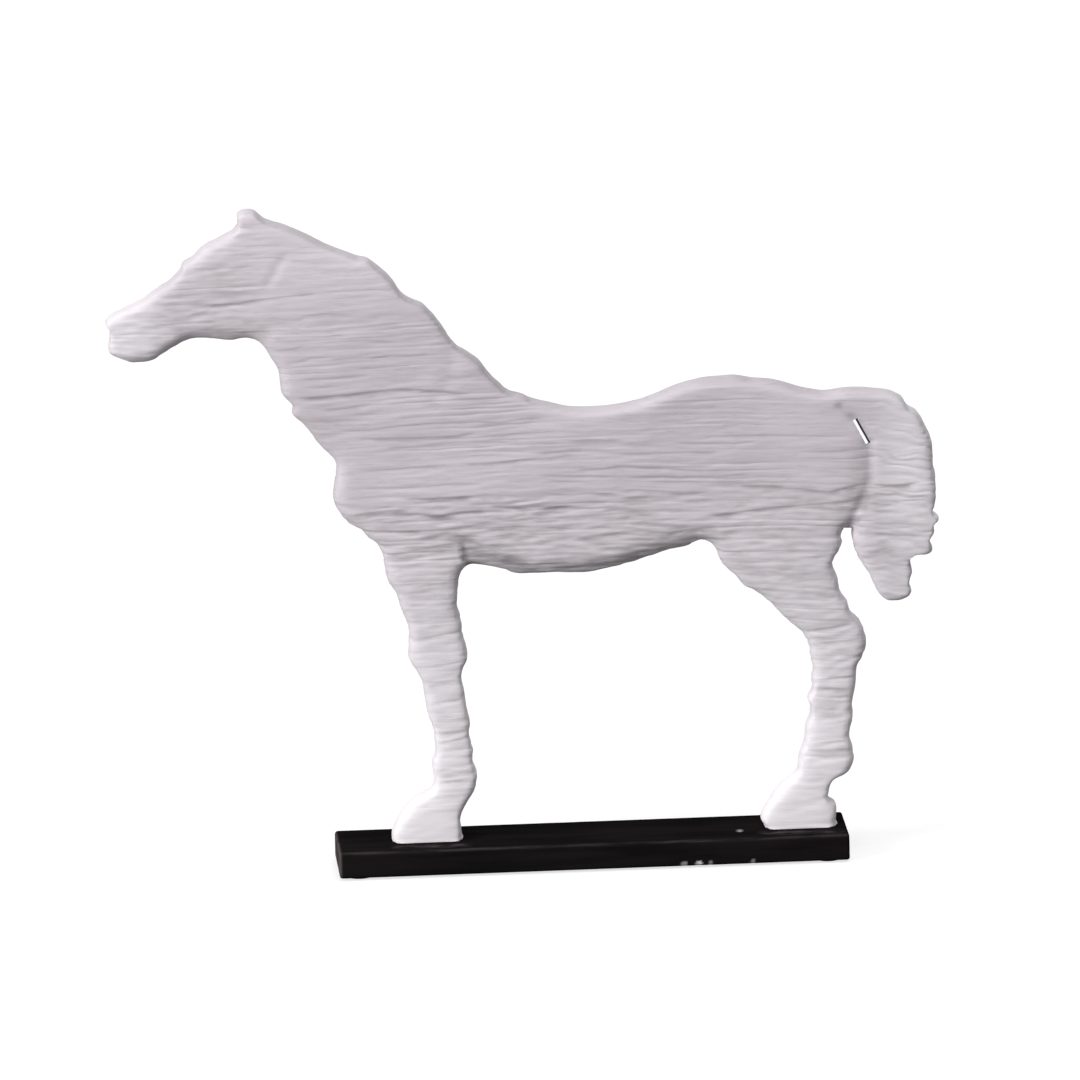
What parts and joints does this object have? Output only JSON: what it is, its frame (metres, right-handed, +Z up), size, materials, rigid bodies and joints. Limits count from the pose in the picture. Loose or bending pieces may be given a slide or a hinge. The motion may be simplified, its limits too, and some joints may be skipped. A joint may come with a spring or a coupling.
{
  "type": "carved horse on a stand",
  "caption": "Flat carved wooden horse silhouette with brushed grain and chalky paint, bolted by two hooves to a narrow black block with felt pads.",
  "frame": {"origin": "centre of the overall box at the surface that the felt pads stand on", "axes": "+Z up; +X from the muzzle towards the tail; +Y through the thickness, away from the pictured side"},
  "size_m": [0.5553, 0.071, 0.4535],
  "materials": {
    "chalk_painted_wood": "brushed grain under worn white chalk paint, matt",
    "black_painted_wood": "satin black paint, rubbed through at the edges",
    "felt": "dense dark felt",
    "zinc_steel": "zinc plated",
    "beech": "bare wood"
  },
  "bodies": {
    "root": {"head_board": "chalk_painted_wood", "neck_board": "chalk_painted_wood", "barrel_board": "chalk_painted_wood", "belly_board": "chalk_painted_wood", "fore_knee_block": "chalk_painted_wood", "hock_block": "chalk_painted_wood", "fore_cannon_block": "chalk_painted_wood", "hind_cannon_block": "chalk_painted_wood", "fore_hoof": "chalk_painted_wood", "hind_hoof": "chalk_painted_wood", "base_block": "black_painted_wood", "felt_pad_head_front": "felt", "felt_pad_head_back": "felt", "felt_pad_tail_front": "felt", "felt_pad_tail_back": "felt", "fore_leg_rod": "zinc_steel", "hind_leg_rod": "zinc_steel", "fore_rod_nut": "zinc_steel", "hind_rod_nut": "zinc_steel", "fore_rod_washer": "zinc_steel", "hind_rod_washer": "zinc_steel", "belly_dowels": "beech", "barrel_dowels": "beech", "neck_dowels": "beech"}
  },
  "joints": []
}
